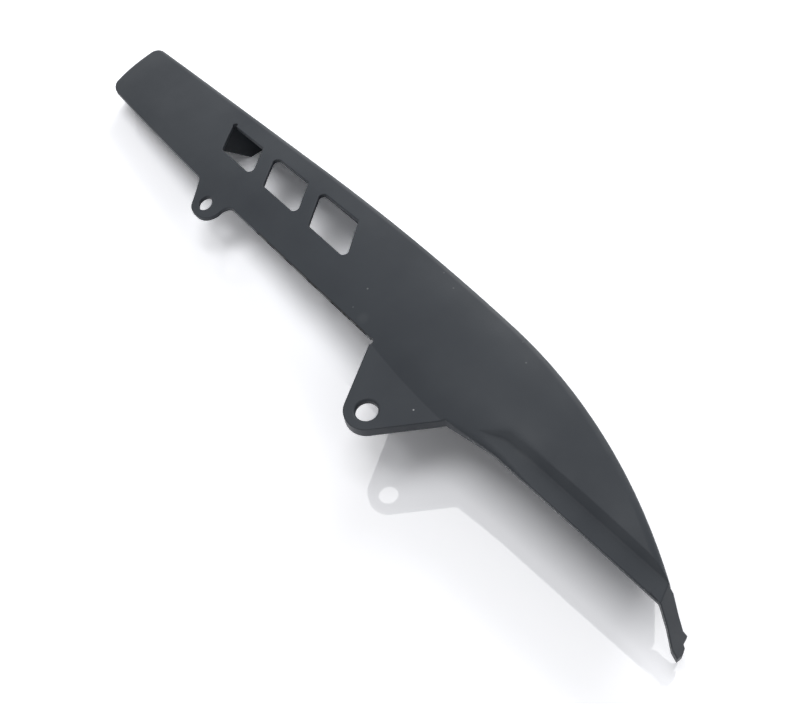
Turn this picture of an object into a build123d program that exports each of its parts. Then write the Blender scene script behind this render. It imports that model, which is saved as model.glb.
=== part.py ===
import os
from math import cos, radians, sin, tan

from build123d import *

os.makedirs("parts", exist_ok=True)

# Chain guard: one thin moulded shell with three windows, a front ear, a rear tab and a bent tail.
# It lies with its outer face up, on the inner edge of the wall that follows its curved top.
# X runs from front to rear, Y towards the curved top edge and Z outboard, along the rear bolt.
# The origin is on the axis of the tab's hole, at the foot of the chamfer on its outer side.

# Shell
wall = 1.8
wall_draft = 11.0
rest = -33.0
edge_radius = 3.0

# Height of the outer face above the rest plane, along lines of constant Y, at even stations along X
face_start = -290.0
face_spacing = 75.0
face_lines = (4.0, 19.0, 27.0, 33.0, 46.0, 71.0)
face_heights = (
    (6.0, 10.5, 13.0, 14.0, 14.4, 12.4),
    (13.5, 17.2, 19.7, 20.7, 21.1, 19.1),
    (21.6, 24.3, 26.6, 27.5, 27.9, 25.6),
    (27.5, 31.3, 33.5, 34.4, 35.0, 32.4),
    (26.0, 34.6, 37.3, 38.5, 39.5, 35.8),
    (26.5, 31.4, 34.2, 36.0, 37.5, 33.7),
    (24.0, 27.8, 29.8, 31.0, 31.8, 29.2),
)

# Plan outline at the level of the origin: slanted front end, then the curved top edge in four arcs
front_foot = (-233.1, -19.2)
front_head = (-250.2, 51.0)
front_corner = 5.0
top_lead = 3.6
top_rise = (-110.0, 59.0)
top_crest = (10.0, 60.8)
top_bend = (70.0, 50.9)
top_end = (142.0, 10.5)

# Hem, the lower edge of the outer face, from the front corner to the rear strip
nose = (-247.7, 28.4)
hem_front = (-240.6, 21.75)
hem_middle = (-100.0, 18.9)
hem_back = (-22.5, 19.6)
tab_root = 18.0

# Rear strip: the level part of the face, at the foot of a sloping step
strip_level = 2.5
strip_fall = 2.9
strip_front = (43.5, 21.4)
strip_rear = (113.2, 26.5)
strip_back = (110.6, 32.6)
strip_blend = 20.0
step_toe = (30.0, 21.5)
step_foot = (42.0, 28.4)
step_end = (100.3, 32.3)
step_slope = 50.0

# Windows
window_count = 3
window_pitch = 35.1
window_first = -156.5
window_foot = 34.7
window_length = 25.6
window_spread = 0.7
window_height = 12.9
window_growth = 1.3
window_slant = 40.5
window_rise = 0.02
window_round = 2.0
nick_place = (1.1, 0.2)
nick_radius = 1.2

# Gusset behind the first window
gusset_place = -171.0
gusset_width = 1.8
gusset_toe = 52.0
gusset_angle = 45.0

# Rear tab, which the face runs down into
tab_thickness = 4.4
tab_centre = (-0.3, 0.4)
tab_tip = 8.5
tab_half_angle = 33.5
tab_hole = 4.15
tab_chamfer = 0.6
tab_rim = 1.8
tab_web = 2.4
tab_seam = 13.0

# Front ear, flush with the face
ear_centre = (-135.5, 14.0)
ear_radius = 7.4
ear_spread = 3.1
ear_flare = 42.0
ear_root = 24.0
ear_sweep = 5.0
ear_blend = 4.5
ear_hole = 3.05
ear_hole_place = (-1.2, -1.1)
ear_stretch = 1.4
ear_turn = -31.0

# Tail, bent down from the end of the strip, with a torn end
tail_bend = 59.0
tail_length = 24.0
tail_root = 109.0
tail_plan = (
    (112.8, 33.0),
    (117.7, 31.2),
    (121.0, 30.3),
    (122.5, 31.1),
    (122.9, 29.7),
    (123.5, 28.2),
    (124.5, 28.0),
    (125.5, 26.0),
    (125.6, 23.4),
    (123.1, 23.0),
    (118.0, 25.2),
)

# Ends of the wall's foot: the slant up to the tail, and the relief under the front corner
slant_start = 92.0
slant_end = 113.0
slant_blend = 20.0
relief_line = -200.0
relief_foot = 29.0
relief_head = (20.0, -18.4)

# Relief notch beside the tab
notch_place = (-23.0, 18.5)
notch_radius = 1.5

reach = 90.0
crown = 8.0
ground = rest - crown
under = tab_chamfer - tab_thickness


# Solid under the outer face, lowered and drawn in by a setback
def blank(setback):
    with BuildPart() as body:
        for i, heights in enumerate(face_heights):
            with BuildSketch(Plane.YZ.offset(face_start + i * face_spacing)):
                with BuildLine():
                    crest = Spline(*[(y, rest + h - setback) for y, h in zip(face_lines, heights)])
                    Polyline(crest @ 1, (face_lines[-1], ground), (face_lines[0], ground), crest @ 0)
                make_face()
        loft()
        for level in (ground, crown):
            with BuildSketch(Plane.XY.offset(level)):
                with BuildLine():
                    lead = (cos(radians(top_lead)), sin(radians(top_lead)))
                    arc = TangentArc(front_head, top_rise, tangent=lead)
                    for start, end in ((top_rise, top_crest), (top_crest, top_bend), (top_bend, top_end)):
                        arc = TangentArc(start, end, tangent=arc % 1)
                    Polyline(top_end, (top_end[0], front_foot[1]), front_foot, front_head)
                make_face()
                offset(amount=-setback - level * tan(radians(wall_draft)), kind=Kind.INTERSECTION)
        loft(ruled=True, mode=Mode.INTERSECT)
        upright = body.edges().filter_by(lambda e: abs((e % 0.5).Z) > 0.9 and e.center().Y > tab_root)
        fillet(upright.sort_by(Axis.X)[0], radius=front_corner - setback)
    return body.part


# Space above the strip, in front of its sloping step, for a skin set back from the outer one
def strip_space(setback):
    fall = radians(strip_fall)
    corner = (*step_foot, strip_level)
    level = Plane(corner, x_dir=(cos(fall), 0, -sin(fall)), z_dir=(sin(fall), 0, cos(fall)))
    with BuildPart() as space:
        with BuildSketch(level.offset(-setback)):
            with BuildLine():
                toe = (step_toe[0] - step_foot[0], step_toe[1] - step_foot[1])
                run = (step_end[0] - step_foot[0], step_end[1] - step_foot[1])
                end = (2 * run[0], 2 * run[1])
                Polyline(toe, (0, 0), end, (end[0], -reach), (toe[0], -reach), close=True)
            make_face()
            offset(amount=setback * tan(radians(step_slope / 2)), kind=Kind.INTERSECTION)
        extrude(amount=2 * crown, taper=step_slope - 90)
    return space.part


# Tab in plan
tab_apex = tab_centre[1] - tab_tip / sin(radians(tab_half_angle))
tab_width = (tab_root - tab_apex) * tan(radians(tab_half_angle))
tab_corners = ((tab_centre[0] + tab_width, tab_root), (tab_centre[0] - tab_width, tab_root))
with BuildSketch() as tab_plan:
    with BuildLine():
        Polyline((tab_centre[0], tab_apex), *tab_corners, close=True)
    make_face()
    fillet(tab_plan.vertices().sort_by(Axis.Y)[0], radius=tab_tip)

# Ear in plan, run past the hem
root_gap = ear_root - ear_centre[1]
flare = radians(ear_flare)
side = (-ear_spread / 2 - ear_radius * cos(flare), -ear_radius * sin(flare))
with BuildSketch() as ear:
    SlotCenterToCenter(ear_spread, 2 * ear_radius)
    with BuildLine():
        Polyline(
            side,
            (side[0] - (root_gap - side[1]) * tan(flare), root_gap),
            (ear_spread / 2 + ear_radius, root_gap),
            (ear_spread / 2 + ear_radius, 0),
            close=True,
        )
    make_face()

# Region beyond the hem, less the ear and the seam of the tab
with BuildSketch() as beyond_hem:
    with BuildLine():
        front_run = (front_foot[0] - front_head[0], front_foot[1] - front_head[1])
        TangentArc(nose, hem_front, tangent=front_run)
        ThreePointArc(hem_front, hem_middle, hem_back)
        Polyline(hem_back, (hem_back[0], tab_root), tab_corners[0], strip_front, strip_rear)
        Polyline(strip_rear, strip_back, (strip_back[0], reach), (top_end[0], reach))
        Polyline((top_end[0], reach), (top_end[0], -reach), (nose[0] - reach, -reach))
        Polyline((nose[0] - reach, -reach), (nose[0] - reach, nose[1]), nose)
    make_face()
    fillet(beyond_hem.vertices().sort_by_distance(strip_front)[0], radius=strip_blend)
    with Locations(ear_centre):
        add(ear.sketch, mode=Mode.SUBTRACT)
    for end, radius in ((0, ear_sweep), (-1, ear_blend)):
        ear_ends = beyond_hem.vertices().filter_by(lambda v: abs(v.X - ear_centre[0]) < 4 * ear_radius)
        fillet(ear_ends.filter_by(lambda v: v.Y > tab_root).sort_by(Axis.X)[end], radius=radius)
    with BuildSketch(mode=Mode.PRIVATE) as seam:
        add(tab_plan.sketch)
        with Locations((tab_centre[0], tab_seam)):
            Rectangle(reach, reach, align=(Align.CENTER, Align.MIN), mode=Mode.INTERSECT)
    add(seam.sketch, mode=Mode.SUBTRACT)

# Space inside the shell, kept back from the skirt beside the tab and from the gusset
skirt = (strip_front[0] - tab_corners[0][0], strip_front[1] - tab_corners[0][1])
skirt_length = (skirt[0] ** 2 + skirt[1] ** 2) ** 0.5
with BuildPart() as cavity:
    add(blank(wall))
    add(strip_space(wall), mode=Mode.SUBTRACT)
    with BuildSketch(Plane((*tab_corners[0], 0), x_dir=(*skirt, 0), z_dir=(skirt[1], -skirt[0], 0))):
        with BuildLine():
            skirt_foot = (skirt_length, strip_level - wall)
            Polyline((-wall, under), skirt_foot, (skirt_length, crown), (-wall, crown), close=True)
        make_face()
    extrude(amount=-wall, mode=Mode.SUBTRACT)
    with BuildSketch(Plane.YZ.offset(gusset_place)):
        with BuildLine():
            gusset_top = (gusset_toe - reach / tan(radians(gusset_angle)), rest + reach)
            Polyline((gusset_toe, rest), gusset_top, (reach, rest + reach), (reach, rest), close=True)
        make_face()
    extrude(amount=gusset_width / 2, both=True, mode=Mode.SUBTRACT)

# Tail, as a bent strip trimmed to its plan
fold = (strip_rear[0] - strip_back[0], strip_rear[1] - strip_back[1])
slide = tan(radians(strip_fall))
fold_point = (*strip_back, strip_level - (strip_back[0] - step_foot[0]) * slide)
run = tail_length * cos(radians(tail_bend))
fall = tail_length * sin(radians(tail_bend))
with BuildPart() as tail:
    with BuildSketch(Plane(origin=fold_point, x_dir=(-fold[1], fold[0], 0), z_dir=(*fold, 0))):
        with BuildLine():
            Polyline((-reach / 4, slide * reach / 4), (0, 0), (run, -fall))
            offset(amount=-wall, side=Side.RIGHT)
        make_face()
    extrude(amount=reach / 2, both=True)
    with BuildSketch(Plane.XY.offset(ground)):
        with BuildLine():
            Polyline(
                (tail_root, strip_back[1]),
                strip_back,
                *tail_plan,
                strip_rear,
                (tail_root, strip_rear[1]),
                close=True,
            )
        make_face()
    extrude(amount=reach, mode=Mode.INTERSECT)

with BuildPart() as guard:
    # Outer skin, rounded along its top edge and front end
    add(blank(0))
    face_edges = guard.faces().sort_by(Axis.Z)[-1].edges()
    fillet(face_edges.filter_by(lambda e: e.center().Y > tab_root), radius=edge_radius)
    add(strip_space(0), mode=Mode.SUBTRACT)
    with BuildSketch(Plane.XY.offset(ground)):
        add(beyond_hem.sketch)
    extrude(amount=reach, mode=Mode.SUBTRACT)
    add(cavity.part, mode=Mode.SUBTRACT)

    # Foot of the wall on the rest plane, and its slant up to the tail
    with BuildSketch(Plane.XZ) as below_foot:
        with BuildLine():
            Polyline((-reach * 3, rest), (slant_start, rest), (slant_end, under), (reach * 2, under))
            Polyline((reach * 2, under), (reach * 2, -reach), (-reach * 3, -reach), (-reach * 3, rest))
        make_face()
        fillet(below_foot.vertices().sort_by_distance((slant_start, rest))[0], radius=slant_blend)
    extrude(amount=reach, both=True, mode=Mode.SUBTRACT)

    # Relief of the wall under the front corner
    with BuildSketch(Plane.YZ.offset(relief_line)):
        with BuildLine():
            Polyline((relief_foot, rest), relief_head, (-reach, relief_head[1]))
            Polyline((-reach, relief_head[1]), (-reach, rest), (relief_foot, rest))
        make_face()
    extrude(amount=-reach, mode=Mode.SUBTRACT)

    # Windows
    with BuildSketch(Plane.XY.offset(ground)):
        for i in range(window_count):
            x = window_first + i * window_pitch
            length = window_length + i * window_spread
            height = window_height + i * window_growth
            lean = tan(radians(window_slant))
            tall = height + window_rise * length
            with BuildSketch(mode=Mode.PRIVATE) as window:
                with BuildLine():
                    Polyline(
                        (x, window_foot),
                        (x + length, window_foot),
                        (x + length - tall * lean, window_foot + tall),
                        (x - height * lean, window_foot + height),
                        close=True,
                    )
                make_face()
                corners = window.vertices().sort_by(Axis.X)
                fillet(corners[-1] if i == 0 else (corners[0], corners[-1]), radius=window_round)
            add(window.sketch)
        with Locations((window_first, window_foot)):
            with Locations((-window_height * tan(radians(window_slant)), window_height)):
                with Locations(nick_place):
                    Circle(nick_radius)
    extrude(amount=reach, mode=Mode.SUBTRACT)

    add(tail.part)

    # Rear tab, hollowed from behind to a web inside its rim
    with BuildSketch(Plane.XY.offset(under)):
        add(tab_plan.sketch)
    extrude(amount=tab_thickness)
    with BuildSketch(Plane.XY.offset(under)):
        add(tab_plan.sketch)
        offset(amount=-tab_rim, kind=Kind.INTERSECTION)
    extrude(amount=tab_thickness - tab_web, mode=Mode.SUBTRACT)
    Cylinder(radius=tab_hole, height=4 * tab_thickness, mode=Mode.SUBTRACT)
    circles = guard.edges().filter_by(GeomType.CIRCLE)
    rims = circles.filter_by(lambda e: abs(e.radius - tab_hole) < 0.01)
    chamfer(rims.sort_by(Axis.Z)[-1], length=tab_chamfer)

    # Slotted hole in the ear
    with BuildSketch(Plane.XY.offset(ground)):
        with Locations(ear_centre):
            with Locations(ear_hole_place):
                SlotCenterToCenter(ear_stretch, 2 * ear_hole, rotation=ear_turn)
    extrude(amount=reach, mode=Mode.SUBTRACT)

    # Relief notch
    with Locations((*notch_place, 0)):
        Cylinder(radius=notch_radius, height=reach / 4, mode=Mode.SUBTRACT)

guard.part.label = "chain_guard"
export_step(guard.part, "parts/chain_guard.step")
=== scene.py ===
import math

import bpy
from mathutils import Matrix, Vector
from mathutils.bvhtree import BVHTree


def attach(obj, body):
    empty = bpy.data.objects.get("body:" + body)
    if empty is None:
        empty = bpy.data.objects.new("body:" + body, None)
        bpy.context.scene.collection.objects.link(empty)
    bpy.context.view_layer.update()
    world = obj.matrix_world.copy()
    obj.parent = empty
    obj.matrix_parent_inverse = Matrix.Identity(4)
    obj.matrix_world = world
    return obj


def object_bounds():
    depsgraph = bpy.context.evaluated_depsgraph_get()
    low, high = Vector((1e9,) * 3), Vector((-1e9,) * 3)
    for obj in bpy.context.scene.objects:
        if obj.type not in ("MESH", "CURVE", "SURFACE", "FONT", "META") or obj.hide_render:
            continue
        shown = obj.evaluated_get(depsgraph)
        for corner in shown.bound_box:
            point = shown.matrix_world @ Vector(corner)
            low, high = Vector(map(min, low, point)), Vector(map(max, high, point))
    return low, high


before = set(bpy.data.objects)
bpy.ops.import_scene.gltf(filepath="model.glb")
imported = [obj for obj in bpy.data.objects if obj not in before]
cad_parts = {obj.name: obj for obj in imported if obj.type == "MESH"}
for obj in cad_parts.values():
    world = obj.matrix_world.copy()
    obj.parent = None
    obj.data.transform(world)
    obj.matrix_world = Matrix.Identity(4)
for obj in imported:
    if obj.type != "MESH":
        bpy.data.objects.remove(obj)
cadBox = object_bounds()
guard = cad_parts["chain_guard"]
scene = bpy.context.scene
scene.view_settings.view_transform = "Standard"
print("guard loaded, box", [[round(c, 4) for c in corner] for corner in cadBox])


def addNode(tree, kind, inputs=None, **settings):
    node = tree.nodes.new(kind)
    for name, value in settings.items():
        setattr(node, name, value)
    for socket, value in (inputs or {}).items():
        if isinstance(value, bpy.types.NodeSocket):
            tree.links.new(value, node.inputs[socket])
        else:
            node.inputs[socket].default_value = value
    return node


def newMaterial(name):
    material = bpy.data.materials.new(name)
    material.use_nodes = True
    material.node_tree.nodes.clear()
    return material, material.node_tree


# a Mix node has its colours at sockets 6 and 7 and at output 2
def mixColours(tree, share, first, second):
    inputs = {0: share, 6: first, 7: second}
    return addNode(tree, "ShaderNodeMix", inputs, data_type="RGBA").outputs[2]


def mapRange(tree, value, low, high, toLow=0.0, toHigh=1.0):
    inputs = {"Value": value, "From Min": low, "From Max": high, "To Min": toLow, "To Max": toHigh}
    return addNode(tree, "ShaderNodeMapRange", inputs).outputs[0]


def combine(tree, operation, first, second):
    inputs = {0: first, 1: second}
    return addNode(tree, "ShaderNodeMath", inputs, operation=operation).outputs[0]


def distance(tree, place, point):
    inputs = {0: place, 1: point}
    return addNode(tree, "ShaderNodeVectorMath", inputs, operation="DISTANCE").outputs["Value"]


def noise(tree, place, scale, detail):
    inputs = {"Vector": place, "Scale": scale, "Detail": detail}
    return addNode(tree, "ShaderNodeTexNoise", inputs).outputs[0]


def bump(tree, strength, depth, height, normal):
    inputs = {"Strength": strength, "Distance": depth, "Height": height, "Normal": normal}
    return addNode(tree, "ShaderNodeBump", inputs).outputs[0]


def seenByCamera(tree):
    path = addNode(tree, "ShaderNodeLightPath").outputs
    seen = combine(tree, "MAXIMUM", path["Is Camera Ray"], path["Is Glossy Ray"])
    return combine(tree, "MAXIMUM", seen, path["Is Transmission Ray"])


# moulded plastic of the guard, lengths in metres
plastic = {
    "shade": (0.0243, 0.0290, 0.0362, 1),
    "paleShade": (0.0311, 0.0367, 0.0446, 1),
    "mottleScale": 24,
    "mottleDetail": 4,
    "mottleLimits": (0.35, 0.65),
    "smooth": 0.44,
    "rough": 0.58,
    "index": 1.49,
    "specular": 0.29,
    # spots and the step's start have their full effect within this part of their reach
    "fullPart": 1 / 3,
    "dustShade": (0.060, 0.064, 0.070, 1),
    "dustScale": 130,
    "dustSize": 0.055,
    "dustShare": 0.965,
    "speckShade": (0.40, 0.41, 0.42, 1),
    # place, radius and strength of the specks that stand out
    "specks": (
        ((0.0110, 0.0124, 0.0006), 0.0004, 1.0),
        ((-0.0413, 0.0318, 0.0031), 0.0005, 0.30),
        ((-0.0392, 0.0231, 0.0014), 0.0005, 0.12),
        ((-0.0268, 0.0573, 0.0040), 0.0005, 0.15),
        ((-0.0182, 0.0549, 0.0048), 0.0005, 0.15),
        ((0.0177, 0.0570, 0.0056), 0.0005, 0.15),
        ((0.0253, 0.0517, 0.0064), 0.0005, 0.15),
        ((-0.0323, 0.0227, 0.0017), 0.0030, 0.03),
    ),
    # the hem is an arc in plan; the painted shade on its edge comes in and goes out between these
    # pairs of X
    "hemCentre": (-0.09487, 3.74152, 0),
    "hemRadius": 3.72262,
    # colour and width of the painted shade along the hem's edge
    "hemShadowShade": (0.004, 0.005, 0.006, 1),
    "hemShadowDepth": 0.00015,
    "hemShadowFront": (-0.106, -0.100),
    "hemShadowRear": (-0.025, -0.029),
    "edgeRound": 0.0008,
    "edgeSamples": 8,
    "stepStart": (0.039, 0.027, 0.004),
    "stepReach": 0.022,
    "stepRound": 0.0045,
    "swellScale": 28,
    "swellDetail": 2,
    "swellDepth": 0.0003,
    "swellStrength": 0.3,
    "grainScale": 1400,
    "grainDetail": 3,
    "grainDepth": 0.00004,
    "grainStrength": 0.5,
}


def makePlastic(s):
    material, tree = newMaterial("satinPlastic")
    place = addNode(tree, "ShaderNodeTexCoord").outputs["Object"]

    # slow change of shade and gloss, from the flow in the mould
    mottle = noise(tree, place, s["mottleScale"], s["mottleDetail"])
    drift = mapRange(tree, mottle, *s["mottleLimits"])
    colour = mixColours(tree, drift, s["shade"], s["paleShade"])

    # sparse pale dust
    cells = addNode(tree, "ShaderNodeTexVoronoi", {"Vector": place, "Scale": s["dustScale"]})
    lot = addNode(tree, "ShaderNodeSeparateColor", {0: cells.outputs["Color"]}).outputs[0]
    chosen = combine(tree, "GREATER_THAN", lot, s["dustShare"])
    fullSize = s["dustSize"] * s["fullPart"]
    spot = mapRange(tree, cells.outputs["Distance"], s["dustSize"], fullSize)
    dust = combine(tree, "MULTIPLY", spot, chosen)
    colour = mixColours(tree, dust, colour, s["dustShade"])

    # single specks
    for point, radius, strength in s["specks"]:
        away = distance(tree, place, point)
        speck = mapRange(tree, away, radius, radius * s["fullPart"], 0, strength)
        colour = mixColours(tree, speck, colour, s["speckShade"])

    # painted shade: the hem's trimmed edge between the ear and the tab is darkened as if it lay in
    # shadow
    flatten = {0: place, 1: (1, 1, 0)}
    plan = addNode(tree, "ShaderNodeVectorMath", flatten, operation="MULTIPLY").outputs[0]
    away = distance(tree, plan, s["hemCentre"])
    along = addNode(tree, "ShaderNodeSeparateXYZ", {0: place}).outputs["X"]
    inside = s["hemRadius"] - s["hemShadowDepth"]
    hemShadow = mapRange(tree, away, inside - s["hemShadowDepth"], inside)
    for limits in (s["hemShadowFront"], s["hemShadowRear"]):
        hemShadow = combine(tree, "MULTIPLY", hemShadow, mapRange(tree, along, *limits))
    colour = mixColours(tree, hemShadow, colour, s["hemShadowShade"])

    # rounded edges, rounder where the step begins
    near = distance(tree, place, s["stepStart"])
    fullReach = s["stepReach"] * s["fullPart"]
    radius = mapRange(tree, near, s["stepReach"], fullReach, s["edgeRound"], s["stepRound"])
    edge = addNode(tree, "ShaderNodeBevel", {"Radius": radius}, samples=s["edgeSamples"])

    # slow swells and the fine grain of the mould
    swell = noise(tree, place, s["swellScale"], s["swellDetail"])
    swollen = bump(tree, s["swellStrength"], s["swellDepth"], swell, edge.outputs[0])
    grain = noise(tree, place, s["grainScale"], s["grainDetail"])
    grained = bump(tree, s["grainStrength"], s["grainDepth"], grain, swollen)
    shader = addNode(
        tree,
        "ShaderNodeBsdfPrincipled",
        {
            "Base Color": colour,
            "Roughness": mapRange(tree, drift, 0, 1, s["rough"], s["smooth"]),
            "IOR": s["index"],
            "Specular IOR Level": s["specular"],
            "Normal": grained,
        },
    )
    addNode(tree, "ShaderNodeOutputMaterial", {"Surface": shader.outputs[0]})
    return material


satinPlastic = makePlastic(plastic)
guard.data.materials.clear()
guard.data.materials.append(satinPlastic)
print("plastic set")

# flash left on the hem between the ear and the tab, lengths in metres
hemFlash = {
    "start": -0.103,
    "end": -0.027,
    "step": 0.002,
    "inside": 0.0225,
    "depth": 0.0019,
    "clearance": 0.01,
    "spacing": 0.0006,
    "finWidth": 0.0009,
    "finLength": 0.0005,
    "finThickness": 0.00018,
    "gapScale": 150,
    "gapDetail": 1,
    "gapShare": 0.5,
    # least and most that a fin is turned, in radians, and stretched
    "turn": ((-0.35, -0.1, -0.4), (0.05, 0.1, 0.4)),
    "stretch": ((0.7, 0.25, 0.7), (1.4, 1.0, 1.2)),
    "seed": 7,
}


# finds the face's height inside the hem, then the hem itself a little below it
def hemPath(s):
    bvh = BVHTree.FromObject(guard, bpy.context.evaluated_depsgraph_get())
    above = cadBox[1].z + s["clearance"]
    down = Vector((0, 0, -1))
    inwards = Vector((0, 1, 0))
    points = []
    count = round((s["end"] - s["start"]) / s["step"])
    for i in range(count + 1):
        x = s["start"] + i * s["step"]
        top = bvh.ray_cast(Vector((x, s["inside"], above)), down)[0]
        outside = Vector((x, cadBox[0].y, top.z - s["depth"]))
        points.append(bvh.ray_cast(outside, inwards)[0])
    return points


def randomVector(tree, limits, seed):
    inputs = {0: limits[0], 1: limits[1], "Seed": seed}
    return addNode(tree, "FunctionNodeRandomValue", inputs, data_type="FLOAT_VECTOR").outputs[0]


def flashTree(s):
    tree = bpy.data.node_groups.new("hemFlashTree", "GeometryNodeTree")
    sockets = tree.interface
    sockets.new_socket("Path", in_out="INPUT", socket_type="NodeSocketGeometry")
    for name in ("Spacing", "Fin width", "Fin length", "Fin thickness", "Gap scale"):
        sockets.new_socket(name, in_out="INPUT", socket_type="NodeSocketFloat")
    sockets.new_socket("Seed", in_out="INPUT", socket_type="NodeSocketInt")
    sockets.new_socket("Material", in_out="INPUT", socket_type="NodeSocketMaterial")
    sockets.new_socket("Flash", in_out="OUTPUT", socket_type="NodeSocketGeometry")
    given = addNode(tree, "NodeGroupInput").outputs

    path = {"Curve": given["Path"], "Length": given["Spacing"]}
    line = addNode(tree, "GeometryNodeResampleCurve", path, mode="LENGTH")
    sides = {"X": given["Fin width"], "Y": given["Fin length"], "Z": given["Fin thickness"]}
    size = addNode(tree, "ShaderNodeCombineXYZ", sides)
    fin = addNode(tree, "GeometryNodeMeshCube", {"Size": size.outputs[0]})

    # fins come and go along the edge
    patches = {"Scale": given["Gap scale"], "Detail": s["gapDetail"]}
    gap = addNode(tree, "ShaderNodeTexNoise", patches)
    there = addNode(tree, "FunctionNodeCompare", {0: gap.outputs[0], 1: s["gapShare"]})
    fins = addNode(
        tree,
        "GeometryNodeInstanceOnPoints",
        {
            "Points": line.outputs[0],
            "Selection": there.outputs[0],
            "Instance": fin.outputs["Mesh"],
            "Rotation": randomVector(tree, s["turn"], given["Seed"]),
            "Scale": randomVector(tree, s["stretch"], given["Seed"]),
        },
    )
    solid = addNode(tree, "GeometryNodeRealizeInstances", {"Geometry": fins.outputs[0]})
    dress = {"Geometry": solid.outputs[0], "Material": given["Material"]}
    dressed = addNode(tree, "GeometryNodeSetMaterial", dress)
    addNode(tree, "NodeGroupOutput", {"Flash": dressed.outputs[0]})
    return tree


def makeFlash(s):
    curve = bpy.data.curves.new("hemPath", "CURVE")
    curve.dimensions = "3D"
    spline = curve.splines.new("POLY")
    path = hemPath(s)
    spline.points.add(len(path) - 1)
    for point, place in zip(spline.points, path):
        point.co = (*place, 1)
    carrier = bpy.data.objects.new("hemFlashPath", curve)
    scene.collection.objects.link(carrier)
    modifier = carrier.modifiers.new("flash", "NODES")
    modifier.node_group = flashTree(s)
    values = {
        "Spacing": s["spacing"],
        "Fin width": s["finWidth"],
        "Fin length": s["finLength"],
        "Fin thickness": s["finThickness"],
        "Gap scale": s["gapScale"],
        "Seed": s["seed"],
        "Material": satinPlastic,
    }
    for item in modifier.node_group.interface.items_tree:
        if item.in_out == "INPUT" and item.name in values:
            modifier[item.identifier] = values[item.name]
    evaluated = carrier.evaluated_get(bpy.context.evaluated_depsgraph_get())
    mesh = bpy.data.meshes.new_from_object(evaluated)
    carrier.modifiers.remove(modifier)
    bpy.data.objects.remove(carrier)
    flash = bpy.data.objects.new("hem_flash", mesh)
    scene.collection.objects.link(flash)
    return flash


flash = makeFlash(hemFlash)
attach(flash, "root")
print("hem flash:", len(flash.data.polygons), "faces")

# pale floor under the guard, polished towards the rear, lengths in metres
floorLook = {
    "reach": 1.0,
    "shade": (0.90, 0.90, 0.90, 1),
    "seenShade": (1.55, 1.56, 1.61, 1),
    "farShade": (2.35, 2.36, 2.40, 1),
    "middle": (0, 0, 0),
    "fadeStart": 0.30,
    "fadeEnd": 0.70,
    "gloss": 0.03,
    "index": 3.0,
    "dullEnd": -0.045,
    "polishedEnd": 0.012,
    "dullShare": 0.15,
}


def makeFloor(s):
    half = s["reach"] / 2
    level = cadBox[0].z
    signs = ((-1, -1), (1, -1), (1, 1), (-1, 1))
    corners = [(half * x, half * y, level) for x, y in signs]
    mesh = bpy.data.meshes.new("floor")
    mesh.from_pydata(corners, [], [(0, 1, 2, 3)])
    floor = bpy.data.objects.new("floor", mesh)
    scene.collection.objects.link(floor)
    material, tree = newMaterial("paleFloor")
    place = addNode(tree, "ShaderNodeTexCoord").outputs["Object"]

    # whiter to the camera and in reflections than to the light that it gives back to the guard,
    # and still white towards its rim, where less light falls
    fade = mapRange(tree, distance(tree, place, s["middle"]), s["fadeStart"], s["fadeEnd"])
    seen = mixColours(tree, fade, s["seenShade"], s["farShade"])
    shade = mixColours(tree, seenByCamera(tree), s["shade"], seen)
    matt = addNode(tree, "ShaderNodeBsdfDiffuse", {"Color": shade}).outputs[0]
    gloss = addNode(tree, "ShaderNodeBsdfGlossy", {"Roughness": s["gloss"]}).outputs[0]

    # the floor mirrors the rear of the guard, and its front hardly at all
    along = addNode(tree, "ShaderNodeSeparateXYZ", {0: place}).outputs["X"]
    polish = mapRange(tree, along, s["dullEnd"], s["polishedEnd"], s["dullShare"], 1)
    mirrored = addNode(tree, "ShaderNodeFresnel", {"IOR": s["index"]}).outputs[0]
    share = combine(tree, "MULTIPLY", mirrored, polish)
    both = addNode(tree, "ShaderNodeMixShader", {0: share, 1: matt, 2: gloss})
    addNode(tree, "ShaderNodeOutputMaterial", {"Surface": both.outputs[0]})
    mesh.materials.append(material)
    return floor


floor = makeFloor(floorLook)
print("floor at", round(cadBox[0].z, 4))

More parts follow.
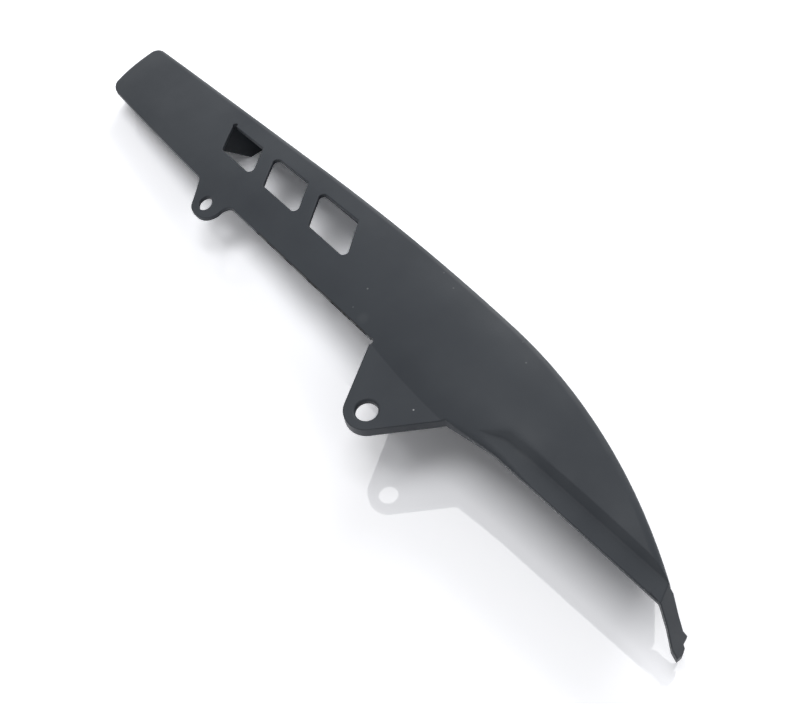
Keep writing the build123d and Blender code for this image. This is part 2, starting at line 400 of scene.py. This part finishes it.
# soft studio light: white surroundings, one lamp overhead, one behind the curved edge
# and a low one in front, lengths in metres and power in watts
studio = {
    "white": (1, 1, 1, 1),
    "surroundings": 0.31,
    "seenSurroundings": 1.0,
    "aim": (-0.06, 0.03, 0.0),
    # name, place, size and power
    "lamps": (
        ("top", (-0.05, -0.04, 1.0), 0.5, 3.9),
        ("back", (-0.36, 0.86, 0.46), 0.8, 6.0),
        ("front", (-0.10, -1.20, 0.25), 0.8, 2.2),
    ),
}


def lookAt(place, aim):
    return (Vector(aim) - Vector(place)).to_track_quat("-Z", "Y")


def addLamp(name, place, aim, size, power):
    lamp = bpy.data.lights.new(name, "AREA")
    lamp.size = size
    lamp.energy = power
    holder = bpy.data.objects.new(name, lamp)
    holder.location = place
    holder.rotation_euler = lookAt(place, aim).to_euler()
    scene.collection.objects.link(holder)


def makeLight(s):
    world = bpy.data.worlds.new("studio")
    world.use_nodes = True
    tree = world.node_tree
    tree.nodes.clear()
    seen = seenByCamera(tree)
    strength = mapRange(tree, seen, 0, 1, s["surroundings"], s["seenSurroundings"])
    sky = addNode(tree, "ShaderNodeBackground", {"Color": s["white"], "Strength": strength})
    addNode(tree, "ShaderNodeOutputWorld", {"Surface": sky.outputs[0]})
    scene.world = world
    for name, place, size, power in s["lamps"]:
        addLamp(name, place, s["aim"], size, power)


makeLight(studio)
print("light set")

# the photograph's view: lengths in metres, roll in degrees, sensor in millimetres
view = {
    "place": (0.1719, -0.0772, 0.2952),
    "aim": (-0.0323, 0.0356, -0.0330),
    "roll": -10.9,
    "focalPixels": 1000,
    "imageWidth": 801,
    "sensor": 36,
    "nearest": 0.01,
}


def makeCamera(s):
    data = bpy.data.cameras.new("camera")
    data.sensor_width = s["sensor"]
    data.lens = s["focalPixels"] / s["imageWidth"] * s["sensor"]
    data.clip_start = s["nearest"]
    camera = bpy.data.objects.new("camera", data)
    turn = lookAt(s["place"], s["aim"]).to_matrix().to_4x4()
    roll = Matrix.Rotation(math.radians(s["roll"]), 4, "Z")
    camera.matrix_world = Matrix.Translation(s["place"]) @ turn @ roll
    scene.collection.objects.link(camera)
    scene.camera = camera


makeCamera(view)
print("camera set")
